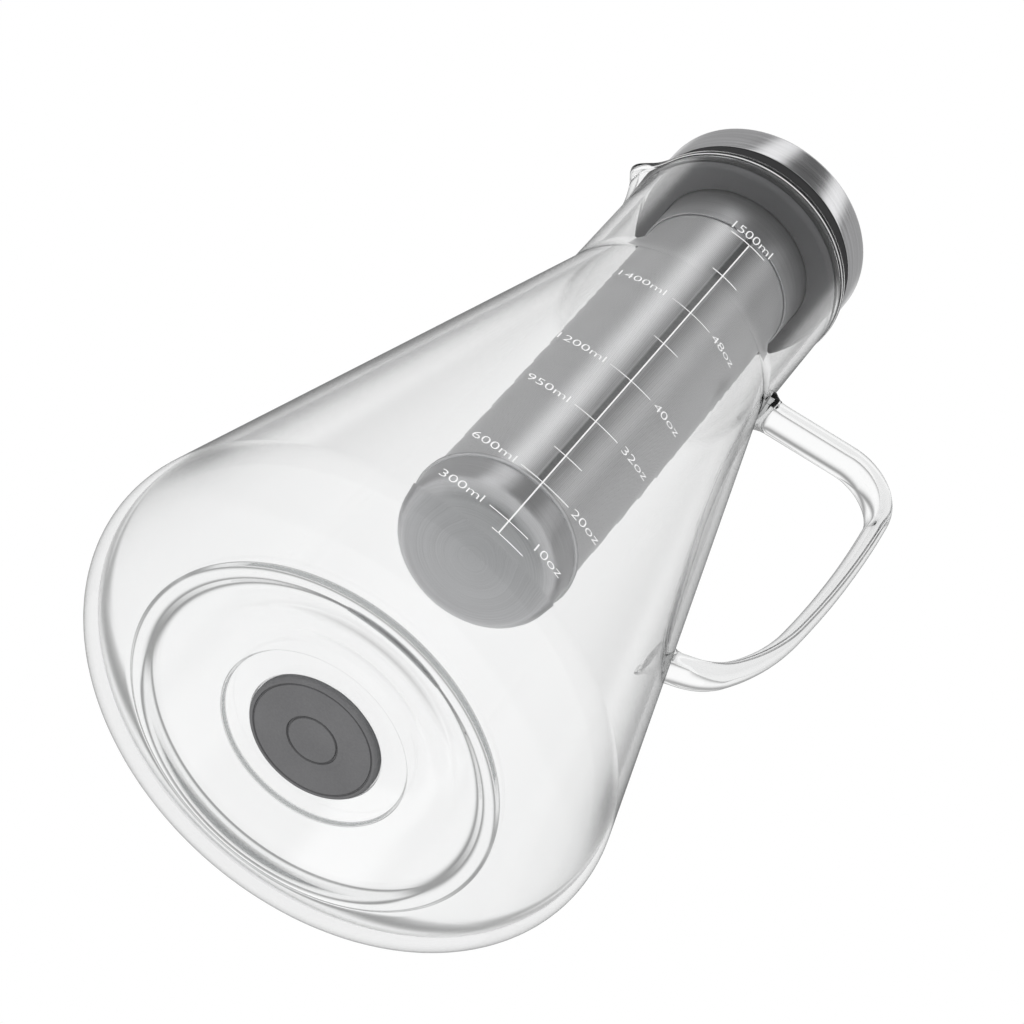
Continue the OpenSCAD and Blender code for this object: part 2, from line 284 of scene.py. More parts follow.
strap_shape = bmesh.new()
bmesh.ops.create_circle(strap_shape, cap_ends=False, radius=STRAP_THICK / 2, segments=32)
bmesh.ops.scale(strap_shape, vec=(1, STRAP_WIDTH / STRAP_THICK, 1), verts=strap_shape.verts)
way = heading_way(TOP_RISE)
middle = ROOT - way * ROOT_SINK
stand = Matrix((
    (-way.z, 0, way.x, middle.x),
    (0, 1, 0, 0),
    (way.x, 0, way.z, middle.z),
    (0, 0, 0, 1),
))
bmesh.ops.transform(strap_shape, matrix=stand, verts=strap_shape.verts)
rim = list(strap_shape.edges)
bmesh.ops.scale(
    strap_shape,
    vec=(TOP_SWELL, TOP_SWELL, TOP_SWELL),
    space=Matrix.Translation(-middle),
    verts=strap_shape.verts,
)
for length, swell in TOP_FLARE:
    rim, middle = draw_on(strap_shape, rim, way, length, middle, swell)
rim, middle = draw_on(strap_shape, rim, way, TOP_RUN, middle)
heading = TOP_RISE
for radius, degrees, steps in BENDS:
    bend_middle = middle + radius * Vector((math.sin(heading), 0, -math.cos(heading)))
    angle = math.radians(degrees)
    spun = bmesh.ops.spin(
        strap_shape, geom=rim, cent=bend_middle, axis=(0, 1, 0), angle=angle, steps=steps
    )
    rim = [item for item in spun["geom_last"] if isinstance(item, bmesh.types.BMEdge)]
    middle = bend_middle + Matrix.Rotation(angle, 3, "Y") @ (middle - bend_middle)
    heading -= angle
way = heading_way(heading)
slope = (glass_radius(CONE_LOW) - glass_radius(CONE_HIGH)) / (CONE_HIGH - CONE_LOW)
run = (middle.x - glass_radius(middle.z)) / (-way.x - slope * way.z)
for length, swell in ((run - LOW_FLARE_REACH, 1.0), *LOW_FLARE):
    rim, middle = draw_on(strap_shape, rim, way, length, middle, swell)
bmesh.ops.holes_fill(strap_shape, edges=strap_shape.edges, sides=64)
bmesh.ops.recalc_face_normals(strap_shape, faces=strap_shape.faces)

GLASS_IOR = 1.47
clear_glass, tree, place, output = new_finish("clear_glass")
waviness = add_node(tree, "TexNoise", {"Vector": place, "Scale": 16, "Detail": 1})
uneven = add_node(
    tree, "Bump", {"Height": waviness.outputs[0], "Strength": 0.035, "Distance": 0.001}
)
edge_on = add_node(tree, "LayerWeight", {"Blend": 0.5}).outputs["Facing"]
tint = add_node(tree, "ValToRGB", {"Fac": waviness.outputs[0]})
tint.color_ramp.elements[0].color = (0.99, 0.993, 0.993, 1)
tint.color_ramp.elements[1].color = (1.0, 1.0, 1.0, 1)
glass = add_node(
    tree,
    "BsdfPrincipled",
    {
        "Base Color": tint.outputs[0],
        "Roughness": 0.0,
        "IOR": GLASS_IOR,
        "Transmission Weight": 1.0,
        "Normal": uneven.outputs[0],
    },
)

# Where the glass is seen edge on, it darkens to an outline
OUTLINE_START = 0.6
OUTLINE_CURVE = 2.0
dark_glass = add_node(
    tree, "BsdfGlass", {"Color": (0.1, 0.105, 0.105, 1), "IOR": GLASS_IOR}
)
edge_rise = add_node(tree, "MapRange", {"Value": edge_on, "From Min": OUTLINE_START})
edge_share = calculate(tree, "POWER", edge_rise.outputs[0], OUTLINE_CURVE)
outlined = add_node(
    tree, "MixShader", {0: edge_share, 1: glass.outputs[0], 2: dark_glass.outputs[0]}
)

# A painted highlight, one thin pale line, runs round the crest of the bead on the rim
CREST_Z = RIM_Z - 2.3
CREST_HALF = 0.05
CREST_FADED = 0.3
CREST_HIGHLIGHT_STRENGTH = 0.75
apart = add_node(tree, "SeparateXYZ", {0: place})
off_crest = calculate(tree, "SUBTRACT", apart.outputs[2], CREST_Z * MM)
off_crest = calculate(tree, "ABSOLUTE", off_crest)
crest_highlight_mask = add_node(
    tree,
    "MapRange",
    {"Value": off_crest, 1: CREST_HALF * MM, 2: CREST_FADED * MM, 3: CREST_HIGHLIGHT_STRENGTH, 4: 0.0},
)
outside = calculate(tree, "GREATER_THAN", off_axis(tree, place), NECK_R * MM)
crest_highlight_share = calculate(tree, "MULTIPLY", crest_highlight_mask.outputs[0], outside)
# This pale diffuse band is the painted highlight itself, mixed over the glass
painted_crest_highlight = add_node(tree, "BsdfDiffuse", {"Color": (0.95, 0.95, 0.95, 1)})
crest_highlighted = add_node(
    tree, "MixShader", {0: crest_highlight_share, 1: outlined.outputs[0], 2: painted_crest_highlight.outputs[0]}
)

# Lamp light, and rays that are caught deep in the glass, go straight through it
TRAPPED_DEPTH = 8.5
straight_through = add_node(tree, "BsdfTransparent", {"Color": (0.95, 0.96, 0.96, 1)})
light_path = add_node(tree, "LightPath")
trapped = calculate(tree, "GREATER_THAN", light_path.outputs["Ray Depth"], TRAPPED_DEPTH)
goes_straight = calculate(tree, "MAXIMUM", light_path.outputs["Is Shadow Ray"], trapped)
either = add_node(
    tree,
    "MixShader",
    {0: goes_straight, 1: crest_highlighted.outputs[0], 2: straight_through.outputs[0]},
)
thickness = add_node(
    tree, "VolumeAbsorption", {"Color": (0.06, 0.1, 0.09, 1), "Density": 3}
)
tree.links.new(either.outputs[0], output.inputs["Surface"])
tree.links.new(thickness.outputs[0], output.inputs["Volume"])

carafe_glass = make_piece("carafe_glass", carafe_shape, clear_glass, sharp=50)
strap = make_piece("strap", strap_shape, clear_glass, sharp=50)
fusing = carafe_glass.modifiers.new("fusing", "BOOLEAN")
fusing.operation = "UNION"
fusing.solver = "EXACT"
fusing.object = strap
built = bpy.context.evaluated_depsgraph_get()
fused = bpy.data.meshes.new_from_object(carafe_glass.evaluated_get(built))
carafe_glass.modifiers.clear()
carafe_glass.data = fused
fused.set_sharp_from_angle(angle=math.radians(50))
bpy.data.objects.remove(strap)
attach(carafe_glass, "carafe")
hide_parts("glass_body", "glass_handle")

# ---- Printed scale ----------------------------------------------------------------------
# White enamel printed on the front of the glass, at -Y: one upright line with long and short
# marks, millilitres on its left and fluid ounces on its right.
PRINT_UP = 0.03
PRINT_THICK = 0.04
LINE_X = 0.8
LINE_W = 0.36
LINE_HALF = LINE_W / 2
LINE_LOW = 23.1
LINE_HIGH = 203.7

# Height, left end and right end of each mark
MARKS = (
    (203.7, -5.3, 6.3), (186.7, -2.6, 6.0), (160.3, -5.1, 7.8), (138.7, -2.5, 5.7),
    (113.7, -5.7, 7.4), (87.8, -5.7, 8.1), (66.9, -2.7, 5.9), (51.5, -5.7, 9.0),
    (29.6, -4.8, 6.7), (23.1, -1.1, 8.3),
)

# Height, place across, side that it starts from and words of each label
LABELS = (
    (205.4, 0.2, "CENTER", "1500ml"),
    (158.9, -7.0, "RIGHT", "1400ml"), (158.9, 8.9, "LEFT", "48oz"),
    (112.3, -7.0, "RIGHT", "1200ml"), (112.3, 8.9, "LEFT", "40oz"),
    (86.4, -7.0, "RIGHT", "950ml"), (86.4, 9.6, "LEFT", "32oz"),
    (50.1, -7.0, "RIGHT", "600ml"), (50.1, 10.2, "LEFT", "20oz"),
    (28.2, -6.4, "RIGHT", "300ml"), (28.2, 8.2, "LEFT", "10oz"),
)
LETTER_SIZE = 4.9

white_print, tree, place, output = new_finish("white_print")
speckle = add_node(tree, "TexNoise", {"Vector": place, "Scale": 2600, "Detail": 2})
chalk = add_node(tree, "ValToRGB", {"Fac": speckle.outputs[0]})
chalk.color_ramp.elements[0].color = (0.8, 0.8, 0.8, 1)
chalk.color_ramp.elements[1].color = (0.93, 0.93, 0.93, 1)
enamel = add_node(
    tree, "BsdfPrincipled", {"Base Color": chalk.outputs[0], "Roughness": 0.45}
)
tree.links.new(enamel.outputs[0], output.inputs["Surface"])


def draw_bar(shape, x_low, x_high, z_low, z_high, steps):
    """A flat bar in the XZ plane, with steps along its length so that it can curve."""
    across = (x_high - x_low) / 2
    up = (z_high - z_low) / 2
    bar = bmesh.ops.create_grid(shape, x_segments=steps[0], y_segments=steps[1], size=1)
    middle = Vector(((x_low + x_high) / 2, 0, (z_low + z_high) / 2))
    lay = Matrix((
        (across, 0, 0, middle.x), (0, 0, 1, 0), (0, up, 0, middle.z), (0, 0, 0, 1)
    ))
    bmesh.ops.transform(shape, matrix=lay, verts=bar["verts"])


print_shape = bmesh.new()
draw_bar(print_shape, LINE_X - LINE_HALF, LINE_X + LINE_HALF, LINE_LOW, LINE_HIGH, (1, 90))
for z, left, right in MARKS:
    draw_bar(print_shape, left, LINE_X - LINE_HALF, z - LINE_HALF, z + LINE_HALF, (8, 1))
    draw_bar(print_shape, LINE_X + LINE_HALF, right, z - LINE_HALF, z + LINE_HALF, (8, 1))
for z, x, side, words in LABELS:
    letters = bpy.data.curves.new("letters", "FONT")
    letters.body = words
    letters.size = LETTER_SIZE
    letters.align_x = side
    letters.offset = -0.05
    letters.resolution_u = 4
    text = bpy.data.objects.new("letters", letters)
    label = bpy.data.meshes.new_from_object(text)
    label.transform(Matrix.Translation((x, 0, z)) @ Matrix.Rotation(math.pi / 2, 4, "X"))
    print_shape.from_mesh(label)
    bpy.data.objects.remove(text)
    bpy.data.meshes.remove(label)
bmesh.ops.solidify(print_shape, geom=list(print_shape.faces), thickness=PRINT_THICK)
for point in print_shape.verts:
    radius = glass_radius(point.co.z) + PRINT_UP - point.co.y
    turned = point.co.x / glass_radius(point.co.z) - math.pi / 2
    point.co = (radius * math.cos(turned), radius * math.sin(turned), point.co.z)
bmesh.ops.recalc_face_normals(print_shape, faces=print_shape.faces)
scale_print = make_piece("scale_print", print_shape, white_print)
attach(scale_print, "carafe")

# ---- Base pad ---------------------------------------------------------------------------
# A round pad of matte grey silicone, moulded with a bevelled rim and a groove ring, and
# bonded into the shallow seat in the middle of the carafe's base.
PAD_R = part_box("base_pad")[1].y / MM
PAD_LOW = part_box("base_pad")[0].z / MM
PAD_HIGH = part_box("base_pad")[1].z / MM
PAD_RING_DEPTH = 0.7
PAD_EDGE_DEPTH = 0.55
PAD_FACE = PAD_LOW + 0.07
pad_shape = turn(
    [
        (0, PAD_LOW + 0.1),
        (5.4, PAD_LOW, 0.3),
        (6.2, PAD_LOW, 0.1),
        (6.3, PAD_LOW + PAD_RING_DEPTH, 0.1),
        (6.8, PAD_LOW + PAD_RING_DEPTH, 0.1),
        (6.9, PAD_LOW, 0.1),
        (8.1, PAD_LOW, 0.1),
        (8.3, PAD_FACE, 0.1),
        (15.4, PAD_FACE, 0.1),
        (15.5, PAD_LOW + PAD_EDGE_DEPTH, 0.1),
        (15.85, PAD_LOW + PAD_EDGE_DEPTH, 0.1),
        (15.95, PAD_LOW, 0.1),
        (PAD_R - 0.55, PAD_LOW, 0.2),
        (PAD_R, PAD_LOW + 0.6, 0.2),
        (PAD_R, PAD_HIGH),
        (0, PAD_HIGH),
    ],
    steps=128,
)


def matte_finish(name, dark, pale, grain_scale, grain_depth, roughness):
    """Moulded silicone or plastic: a fine grain, with slightly uneven colour and gloss."""
    finish, tree, place, output = new_finish(name)
    grain = add_node(tree, "TexNoise", {"Vector": place, "Scale": grain_scale, "Detail": 3})
    patches = add_node(tree, "TexNoise", {"Vector": place, "Scale": 60, "Detail": 2})
    mixed = calculate(tree, "ADD", grain.outputs[0], patches.outputs[0])
    shade = add_node(tree, "MapRange", {"Value": mixed, "From Min": 0.7, "From Max": 1.3})
    colour = add_node(tree, "ValToRGB", {"Fac": shade.outputs[0]})
    colour.color_ramp.elements[0].color = (*dark, 1)
    colour.color_ramp.elements[1].color = (*pale, 1)
    gloss = add_node(
        tree,
        "MapRange",
        {
            "Value": grain.outputs[0],
            "To Min": roughness - 0.06,
            "To Max": roughness + 0.06,
        },
    )
    skin = add_node(
        tree, "Bump", {"Height": grain.outputs[0], "Strength": 0.35, "Distance": grain_depth}
    )
    body = add_node(
        tree,
        "BsdfPrincipled",
        {
            "Base Color": colour.outputs[0],
            "Roughness": gloss.outputs[0],
            "IOR": 1.43,
            "Normal": skin.outputs[0],
        },
    )
    tree.links.new(body.outputs[0], output.inputs["Surface"])
    return finish


pad_silicone = matte_finish(
    "pad_silicone", (0.135, 0.135, 0.139), (0.165, 0.165, 0.169), 1800, 0.00006, 0.6
)
pad = make_piece("pad", pad_shape, pad_silicone)
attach(pad, "carafe")
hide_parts("base_pad")

# ---- Lid core and its seals -------------------------------------------------------------
# The core is a black moulding that fills the cap and holds the screw socket. A dark silicone
# ring in the stopper's groove seals the neck. Both keep the CAD's own shapes.
core_plastic = matte_finish(
    "core_plastic", (0.02, 0.02, 0.022), (0.035, 0.035, 0.037), 900, 0.00005, 0.5
)
gasket_silicone = matte_finish(
    "gasket_silicone", (0.016, 0.016, 0.017), (0.026, 0.026, 0.027), 1800, 0.00004, 0.7
)


def give_finish(node, finish):
    """Give a CAD node that stays in view its material."""
    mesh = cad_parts[node].data
    mesh.materials.clear()
    mesh.materials.append(finish)


give_finish("lid_core", core_plastic)
give_finish("stopper_seal", gasket_silicone)

# ---- Stopper ----------------------------------------------------------------------------
# A dark grey silicone sleeve, pushed up over the core's hub. Its plain underside faces down
# into the neck, and its groove holds the seal ring.
STOPPER_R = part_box("stopper")[1].y / MM
STOPPER_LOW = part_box("stopper")[0].z / MM
STOPPER_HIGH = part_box("stopper")[1].z / MM
SEAL_MIDDLE = (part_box("stopper_seal")[0].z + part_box("stopper_seal")[1].z) / 2 / MM
STOPPER_BORE_R = 22.9
SLEEVE_R = 26.05
SLEEVE_LIP = 1.3
GROOVE_R = STOPPER_R - 2.2
GROOVE_HALF = 1.25
stopper_shape = turn(
    [
        (STOPPER_BORE_R, STOPPER_LOW, 0.25),
        (STOPPER_R, STOPPER_LOW, 1.1),
        (STOPPER_R, SEAL_MIDDLE - GROOVE_HALF, 0.2),
        (GROOVE_R, SEAL_MIDDLE - GROOVE_HALF),
        (GROOVE_R, SEAL_MIDDLE + GROOVE_HALF),
        (STOPPER_R, SEAL_MIDDLE + GROOVE_HALF, 0.2),
        (STOPPER_R, STOPPER_HIGH),
        (SLEEVE_R, STOPPER_HIGH),
        (SLEEVE_R, STOPPER_LOW + SLEEVE_LIP),
        (STOPPER_BORE_R, STOPPER_LOW + SLEEVE_LIP),
    ],
    steps=160,
    closed=True,
)
stopper_silicone = matte_finish(
    "stopper_silicone", (0.082, 0.082, 0.085), (0.1, 0.1, 0.104), 1800, 0.00004, 0.55
)
stopper = make_piece("stopper_sleeve", stopper_shape, stopper_silicone)
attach(stopper, "lid")
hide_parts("stopper")

# ---- Rim gasket -------------------------------------------------------------------------
# A thick ring of near-black silicone between the cap and the glass rim, slightly rounded at
# its outer edges.
GASKET_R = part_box("rim_gasket")[1].y / MM
GASKET_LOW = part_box("rim_gasket")[0].z / MM
GASKET_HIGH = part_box("rim_gasket")[1].z / MM
gasket_shape = turn(
    [
        (SLEEVE_R, GASKET_LOW),
        (GASKET_R, GASKET_LOW, 0.5),
        (GASKET_R, GASKET_HIGH, 0.3),
        (SLEEVE_R, GASKET_HIGH),
    ],
    steps=160,
    closed=True,
)
gasket = make_piece("gasket_ring", gasket_shape, gasket_silicone)
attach(gasket, "lid")
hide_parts("rim_gasket")

# ---- Steel cap --------------------------------------------------------------------------
# Stainless steel 0.8 mm thick, drawn into a shallow cup and brushed round and round, with a
# soft top edge. It is pressed over the core, down to the gasket.
CAP_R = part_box("lid_cap")[1].y / MM
CAP_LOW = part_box("lid_cap")[0].z / MM
CAP_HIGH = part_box("lid_cap")[1].z / MM
CAP_WALL = 0.8
CAP_DISH_Z = CAP_HIGH - 0.35
cap_shape = turn(
    [
        (0, CAP_DISH_Z),
        (CAP_R - 4.2, CAP_DISH_Z, 1.2),
        (CAP_R - 2.6, CAP_HIGH, 1.0),
        (CAP_R, CAP_HIGH, 1.4),
        (CAP_R, CAP_LOW, 0.3),
        (CAP_R - CAP_WALL, CAP_LOW, 0.25),
        (CAP_R - CAP_WALL, CAP_HIGH - CAP_WALL, 0.6),
        (0, CAP_HIGH - CAP_WALL),
    ],
    steps=192,
)


LINES_ALONG = 45


def steel_finish(name, colour, roughness, brushing, lines=1400):
    """Stainless steel, brushed or drawn in fine lines that run round the Z axis."""
    finish, tree, place, output = new_finish(name)
    radius = off_axis(tree, place)
    apart = add_node(tree, "SeparateXYZ", {0: place})
    fine_out = calculate(tree, "MULTIPLY", radius, lines)
    fine_up = calculate(tree, "MULTIPLY", apart.outputs[2], lines)
    along = calculate(tree, "MULTIPLY", apart.outputs[0], LINES_ALONG)
    lie = add_node(tree, "CombineXYZ", {0: fine_out, 1: along, 2: fine_up})
    scratches = add_node(
        tree, "TexNoise", {"Vector": lie.outputs[0], "Scale": 1, "Detail": 3}
    )
    shade = add_node(tree, "ValToRGB", {"Fac": scratches.outputs[0]})
    shade.color_ramp.elements[0].position = 0.25
    shade.color_ramp.elements[1].position = 0.75
    shade.color_ramp.elements[0].color = (*(part * 0.86 for part in colour), 1)
    shade.color_ramp.elements[1].color = (*(part * 1.1 for part in colour), 1)
    gloss = add_node(
        tree,
        "MapRange",
        {
            "Value": scratches.outputs[0],
            "To Min": roughness - 0.08,
            "To Max": roughness + 0.08,
        },
    )
    skin = add_node(
        tree,
        "Bump",
        {"Height": scratches.outputs[0], "Strength": brushing, "Distance": 0.00003},
    )
    body = add_node(
        tree,
        "BsdfPrincipled",
        {
            "Base Color": shade.outputs[0],
            "Metallic": 1.0,
            "Roughness": gloss.outputs[0],
            "Normal": skin.outputs[0],
        },
    )
    tree.links.new(body.outputs[0], output.inputs["Surface"])
    return finish


cap_steel = steel_finish("cap_steel", (0.7, 0.7, 0.71), 0.24, 0.2)
cap = make_piece("cap_shell", cap_shape, cap_steel)
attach(cap, "lid")
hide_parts("lid_cap")

# ---- Filter collar and its seal ring ----------------------------------------------------
# A short drawn steel tube with its top edge turned in. It screws up into the core's socket
# until the grey silicone ring on that edge meets the core.
COLLAR_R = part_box("filter_collar")[1].y / MM
COLLAR_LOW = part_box("filter_collar")[0].z / MM
COLLAR_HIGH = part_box("filter_collar")[1].z / MM
COLLAR_WALL = 0.5
COLLAR_LIP_R = COLLAR_R - 2
collar_shape = turn(
    [
        (COLLAR_R - COLLAR_WALL, COLLAR_LOW, 0.15),
        (COLLAR_R, COLLAR_LOW, 0.2),
        (COLLAR_R, COLLAR_HIGH, 0.4),
        (COLLAR_LIP_R, COLLAR_HIGH, 0.15),
        (COLLAR_LIP_R, COLLAR_HIGH - COLLAR_WALL, 0.15),
        (COLLAR_R - COLLAR_WALL, COLLAR_HIGH - COLLAR_WALL, 0.2),
    ],
    steps=160,
    closed=True,
)
filter_steel = steel_finish("filter_steel", (0.5, 0.5, 0.51), 0.42, 0.04, lines=4500)
collar = make_piece("filter_collar_ring", collar_shape, filter_steel)
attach(collar, "filter")
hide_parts("filter_collar")
give_finish("collar_seal", stopper_silicone)

# ---- Filter mesh and its seam -----------------------------------------------------------
# Fine steel wire cloth, rolled to a tube. Its heavier wires run round the tube, one under
# another, and the thin ones cross them. A welded steel strip covers the lap, at -Y.
MESH_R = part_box("filter_mesh")[1].y / MM
MESH_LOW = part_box("filter_mesh")[0].z / MM
MESH_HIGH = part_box("filter_mesh")[1].z / MM
MESH_BORE_R = MESH_R - 0.4
WIRE_PITCH = 0.72
WIRE_DEPTH = 0.05
CROSS_WIRES = 360
wire_count = int((MESH_HIGH - MESH_LOW) / WIRE_PITCH)
wires = []
for wire in range(wire_count):
    low = MESH_LOW + wire * WIRE_PITCH
    wires.append((MESH_R - WIRE_DEPTH, low))
    wires.append((MESH_R, low + WIRE_PITCH / 2))
mesh_shape = turn(
    [(MESH_BORE_R, MESH_LOW), *wires, (MESH_BORE_R, MESH_HIGH)],
    steps=120,
    closed=True,
)

mesh_steel, tree, place, output = new_finish("mesh_steel")
apart = add_node(tree, "SeparateXYZ", {0: place})
round_tube = calculate(tree, "ARCTAN2", apart.outputs[1], apart.outputs[0])
cross_wave = calculate(tree, "SINE", calculate(tree, "MULTIPLY", round_tube, CROSS_WIRES))
holes = add_node(tree, "MapRange", {"Value": cross_wave, "From Min": -1.0, "From Max": 0.4})
cloudy = add_node(tree, "TexNoise", {"Vector": place, "Scale": 90, "Detail": 2})
cloudy_share = add_node(
    tree, "MapRange", {"Value": cloudy.outputs[0], "To Min": -0.25, "To Max": 0.25}
)
level = calculate(tree, "ADD", holes.outputs[0], cloudy_share.outputs[0])
shade = add_node(tree, "ValToRGB", {"Fac": level})
shade.color_ramp.elements[0].color = (0.66, 0.66, 0.665, 1)
shade.color_ramp.elements[1].color = (0.82, 0.82, 0.83, 1)
skin = add_node(
    tree, "Bump", {"Height": cross_wave, "Strength": 0.12, "Distance": 0.00006}
)
wire_cloth = add_node(
    tree,
    "BsdfPrincipled",
    {
        "Base Color": shade.outputs[0],
        "Metallic": 1.0,
        "Roughness": 0.3,
        "Normal": skin.outputs[0],
    },
)
tree.links.new(wire_cloth.outputs[0], output.inputs["Surface"])
mesh_tube = make_piece("mesh_tube", mesh_shape, mesh_steel, sharp=85)
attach(mesh_tube, "filter")
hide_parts("filter_mesh")

# The strip is dark along its middle, with a painted highlight along each of its edges
SEAM_DARK = 0.8
SEAM_HIGHLIGHT_FULL = 1.25
seam_steel, tree, place, output = new_finish("seam_steel")
apart = add_node(tree, "SeparateXYZ", {0: place})
off_middle = calculate(tree, "ABSOLUTE", apart.outputs[0])
edge_highlight = add_node(
    tree,
    "MapRange",
    {"Value": off_middle, "From Min": SEAM_DARK * MM, "From Max": SEAM_HIGHLIGHT_FULL * MM},
)
grain = add_node(tree, "TexNoise", {"Vector": place, "Scale": 700, "Detail": 3})
# The grain is added on top of the painted edge highlight
mottled_and_highlit = calculate(tree, "MULTIPLY_ADD", grain.outputs[0], 0.25, edge_highlight.outputs[0])
# The pale end of this ramp is the painted highlight along the strip's edges
shade = add_node(tree, "ValToRGB", {"Fac": mottled_and_highlit})
shade.color_ramp.elements[0].color = (0.2, 0.2, 0.205, 1)
shade.color_ramp.elements[1].color = (0.85, 0.85, 0.86, 1)
weld = add_node(
    tree,
    "BsdfPrincipled",
    {"Base Color": shade.outputs[0], "Metallic": 1.0, "Roughness": 0.4},
)
tree.links.new(weld.outputs[0], output.inputs["Surface"])
give_finish("filter_seam", seam_steel)

# ---- Filter cup -------------------------------------------------------------------------
# A drawn steel cup closes the mesh at the bottom. Its top edge is rolled into a round bead,
# and its bottom edge is well rounded.
CUP_R = 22.7
CUP_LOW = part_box("filter_cup")[0].z / MM
CUP_BORE_R = 22.1
CUP_WALL = 0.6
BEAD_MIDDLE = 90.6
BEAD_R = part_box("filter_cup")[1].y / MM - CUP_R
CUP_EDGE_R = 5.5
cup_shape = turn(
    [
        (0, CUP_LOW),
        (CUP_R, CUP_LOW, CUP_EDGE_R),
        (CUP_R, BEAD_MIDDLE, BEAD_R, BEAD_R, -math.pi / 2, math.pi / 2, 10),
        (CUP_BORE_R, BEAD_MIDDLE + BEAD_R),
        (CUP_BORE_R, CUP_LOW + CUP_WALL, CUP_EDGE_R - CUP_WALL),
        (0, CUP_LOW + CUP_WALL),
    ],
    steps=160,
)
cup_steel = steel_finish("cup_steel", (0.56, 0.56, 0.57), 0.33, 0.02, lines=7000)
cup = make_piece("cup_end", cup_shape, cup_steel)
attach(cup, "filter")
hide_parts("filter_cup")

# ---- Studio -----------------------------------------------------------------------------
# A pale floor, a white surround, soft lamps, and the photograph's camera. That camera looks
# up from below the base, so the floor is seen from above only.
scene = bpy.context.scene
scene.view_settings.view_transform = "Standard"


def fade(tree, value, low, high, from_level, to_level):
    """Go smoothly from one level to another as a value goes from low to high."""
    made = add_node(
        tree,
        "MapRange",
        {"Value": value, 1: low, 2: high, 3: from_level, 4: to_level},
        interpolation_type="SMOOTHSTEP",
    )
    return made.outputs[0]


def choose(tree, share, below, above):
    """Mix two levels by a share."""
    made = add_node(tree, "Mix", {"Factor": share, "A": below, "B": above})
    return made.outputs[0]


world = bpy.data.worlds.new("studio")
scene.world = world
world.use_nodes = True
tree = world.node_tree
tree.nodes.clear()
direction = add_node(tree, "TexCoord").outputs["Generated"]
apart = add_node(tree, "SeparateXYZ", {0: direction})
frontward = calculate(tree, "MULTIPLY", apart.outputs[1], -1.0)
azimuth = calculate(tree, "ARCTAN2", apart.outputs[0], frontward)
elevation = calculate(tree, "ARCSINE", apart.outputs[2])

# A ray that a metal piece inside the carafe sent out has passed at least two glass walls
light_path = add_node(tree, "LightPath")
sent_back = calculate(tree, "GREATER_THAN", light_path.outputs["Glossy Depth"], 0.5)
inside = calculate(tree, "GREATER_THAN", light_path.outputs["Transmission Depth"], 3.5)
rough = calculate(tree, "SUBTRACT", 1.0, light_path.outputs["Is Singular Ray"])
from_metal = calculate(tree, "MAXIMUM", inside, rough)

# Metal sees a dark camera side, a bright panel on either side of it, and a pale room behind.
# From inside the carafe the panel on the handle's side is dimmer
turned_away = calculate(tree, "ABSOLUTE", azimuth)
panel_start = fade(tree, turned_away, 0.31, 0.52, 0.0, 1.1)
panel_stop = fade(tree, turned_away, 0.8, 1.05, 1.0, 0.0)
both_panels = calculate(tree, "MULTIPLY", panel_start, panel_stop)
uneven_panels = calculate(
    tree, "MULTIPLY", both_panels, fade(tree, azimuth, -0.2, 0.3, 1.0, 0.45)
)
panels = calculate(tree, "ADD", choose(tree, inside, both_panels, uneven_panels), 0.12)
room_side = fade(tree, turned_away, 0.95, 1.2, 0.0, 0.3)
room_back = fade(tree, turned_away, 2.4, 2.9, 0.0, 0.5)
panels = calculate(tree, "ADD", panels, calculate(tree, "ADD", room_side, room_back))
overhead = fade(tree, elevation, 1.1, 1.4, 0.0, 1.0)
metal_sees = choose(tree, overhead, panels, 0.85)
underneath = fade(tree, elevation, -0.9, -0.5, 1.0, 0.0)
metal_sees = choose(tree, underneath, metal_sees, 0.6)

# The gloss of the glass sees a dim room in front and beside it, and near white behind
glints = fade(tree, turned_away, 1.7, 2.0, 0.3, 0.9)
glints = choose(tree, fade(tree, elevation, 1.0, 1.2, 0.0, 1.0), glints, 0.55)

# Through the glass the backdrop is white, with soft grey joints overhead that draw its edges
JOINTS_ROUND = 8.0
JOINT_SHARPNESS = 5.0
JOINT_DARKNESS = 0.7
waves = []
for angle in (azimuth, elevation):
    wave = calculate(tree, "COSINE", calculate(tree, "MULTIPLY", angle, JOINTS_ROUND))
    waves.append(calculate(tree, "MULTIPLY_ADD", wave, -0.5, 0.5))
joints = calculate(tree, "POWER", calculate(tree, "MAXIMUM", *waves), JOINT_SHARPNESS)
joints = calculate(tree, "MULTIPLY", joints, fade(tree, elevation, 0.2, 0.35, 0.0, 1.0))
glass_sees = calculate(tree, "MULTIPLY_ADD", joints, -JOINT_DARKNESS, 1.0)

# The camera itself sees a white backdrop, and soft light comes from it at a lower level
SURROUND_LEVEL = 0.75
gloss_sees = choose(tree, from_metal, glints, metal_sees)
seen = choose(tree, light_path.outputs["Is Transmission Ray"], SURROUND_LEVEL, glass_sees)
seen = choose(tree, sent_back, seen, gloss_sees)
seen = choose(tree, light_path.outputs["Is Diffuse Ray"], seen, SURROUND_LEVEL)
seen = choose(tree, light_path.outputs["Is Camera Ray"], seen, 1.0)
backdrop = add_node(tree, "Background", {"Color": (1, 1, 1, 1), "Strength": seen})
add_node(tree, "OutputWorld", {"Surface": backdrop.outputs[0]})

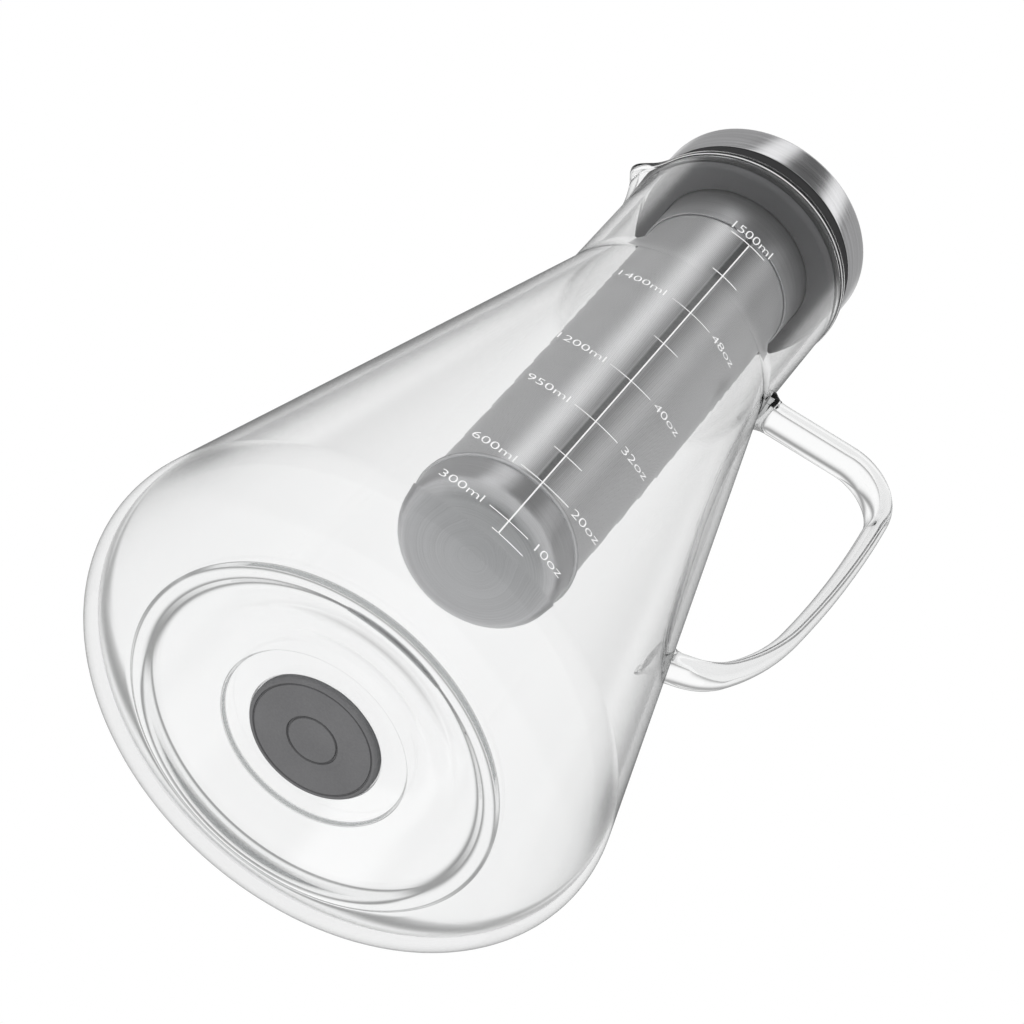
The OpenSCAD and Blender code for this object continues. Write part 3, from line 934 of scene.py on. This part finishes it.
# The floor is matte paper near the jug, fades to plain white, and is clear from below
FLOOR_R = 1500
floor_shape = bmesh.new()
bmesh.ops.create_circle(floor_shape, cap_ends=True, radius=FLOOR_R, segments=96)
floor_paint, tree, place, output = new_finish("floor_paint")
distance = add_node(tree, "VectorMath", {0: place}, operation="LENGTH").outputs["Value"]
tone = add_node(tree, "TexNoise", {"Vector": place, "Scale": 3, "Detail": 2})
shade = add_node(tree, "ValToRGB", {"Fac": tone.outputs[0]})
shade.color_ramp.elements[0].color = (0.86, 0.86, 0.86, 1)
shade.color_ramp.elements[1].color = (0.9, 0.9, 0.9, 1)
paper = add_node(tree, "BsdfDiffuse", {"Color": shade.outputs[0]})
far_white = add_node(tree, "Emission", {"Color": (1, 1, 1, 1), "Strength": 1.0})
far_share = fade(tree, distance, 0.22, 0.6, 0.0, 1.0)
front = add_node(
    tree, "MixShader", {0: far_share, 1: paper.outputs[0], 2: far_white.outputs[0]}
)
clear = add_node(tree, "BsdfTransparent")
side = add_node(tree, "NewGeometry").outputs["Backfacing"]
both = add_node(tree, "MixShader", {0: side, 1: front.outputs[0], 2: clear.outputs[0]})
tree.links.new(both.outputs[0], output.inputs["Surface"])
floor = make_piece("floor", floor_shape, floor_paint)
floor.visible_diffuse = False
floor.visible_shadow = False
floor.visible_glossy = False


JUG_MIDDLE = Vector((0, 0, 0.12))


def add_lamp(name, place, size, power):
    """A square soft lamp that faces the middle of the object."""
    light = bpy.data.lights.new(name, "AREA")
    light.size = size
    light.energy = power
    lamp = bpy.data.objects.new(name, light)
    aim = (JUG_MIDDLE - Vector(place)).to_track_quat("-Z", "Y")
    lamp.matrix_world = Matrix.Translation(place) @ aim.to_matrix().to_4x4()
    lamp.visible_camera = False
    lamp.visible_glossy = False
    lamp.visible_transmission = False
    scene.collection.objects.link(lamp)


add_lamp("key_lamp", (-1.1, -1.2, 1.3), 0.9, 12)
add_lamp("fill_lamp", (1.5, -0.6, 0.9), 1.2, 6)
add_lamp("low_lamp", (-0.5, -1.0, -1.2), 1.0, 9)

CAMERA_PLACE = Vector((0, -0.6363, -0.5525))
CAMERA_WAY = Vector((0, 0.6972, 0.7169))
CAMERA_UP = Vector((0, -0.7169, 0.6972))
CAMERA_ROLL = math.radians(41.2)
camera_data = bpy.data.cameras.new("camera")
camera_data.sensor_width = 36
camera_data.lens = 128.1
camera_data.clip_start = 0.01
camera = bpy.data.objects.new("camera", camera_data)
forward = CAMERA_WAY.normalized()
level_up = CAMERA_UP.normalized()
sideways = Vector((1, 0, 0))
right = math.cos(CAMERA_ROLL) * sideways + math.sin(CAMERA_ROLL) * level_up
up = math.cos(CAMERA_ROLL) * level_up - math.sin(CAMERA_ROLL) * sideways
stand = Matrix((right, up, -forward)).transposed().to_4x4()
stand.translation = CAMERA_PLACE
camera.matrix_world = stand
scene.collection.objects.link(camera)
scene.camera = camera
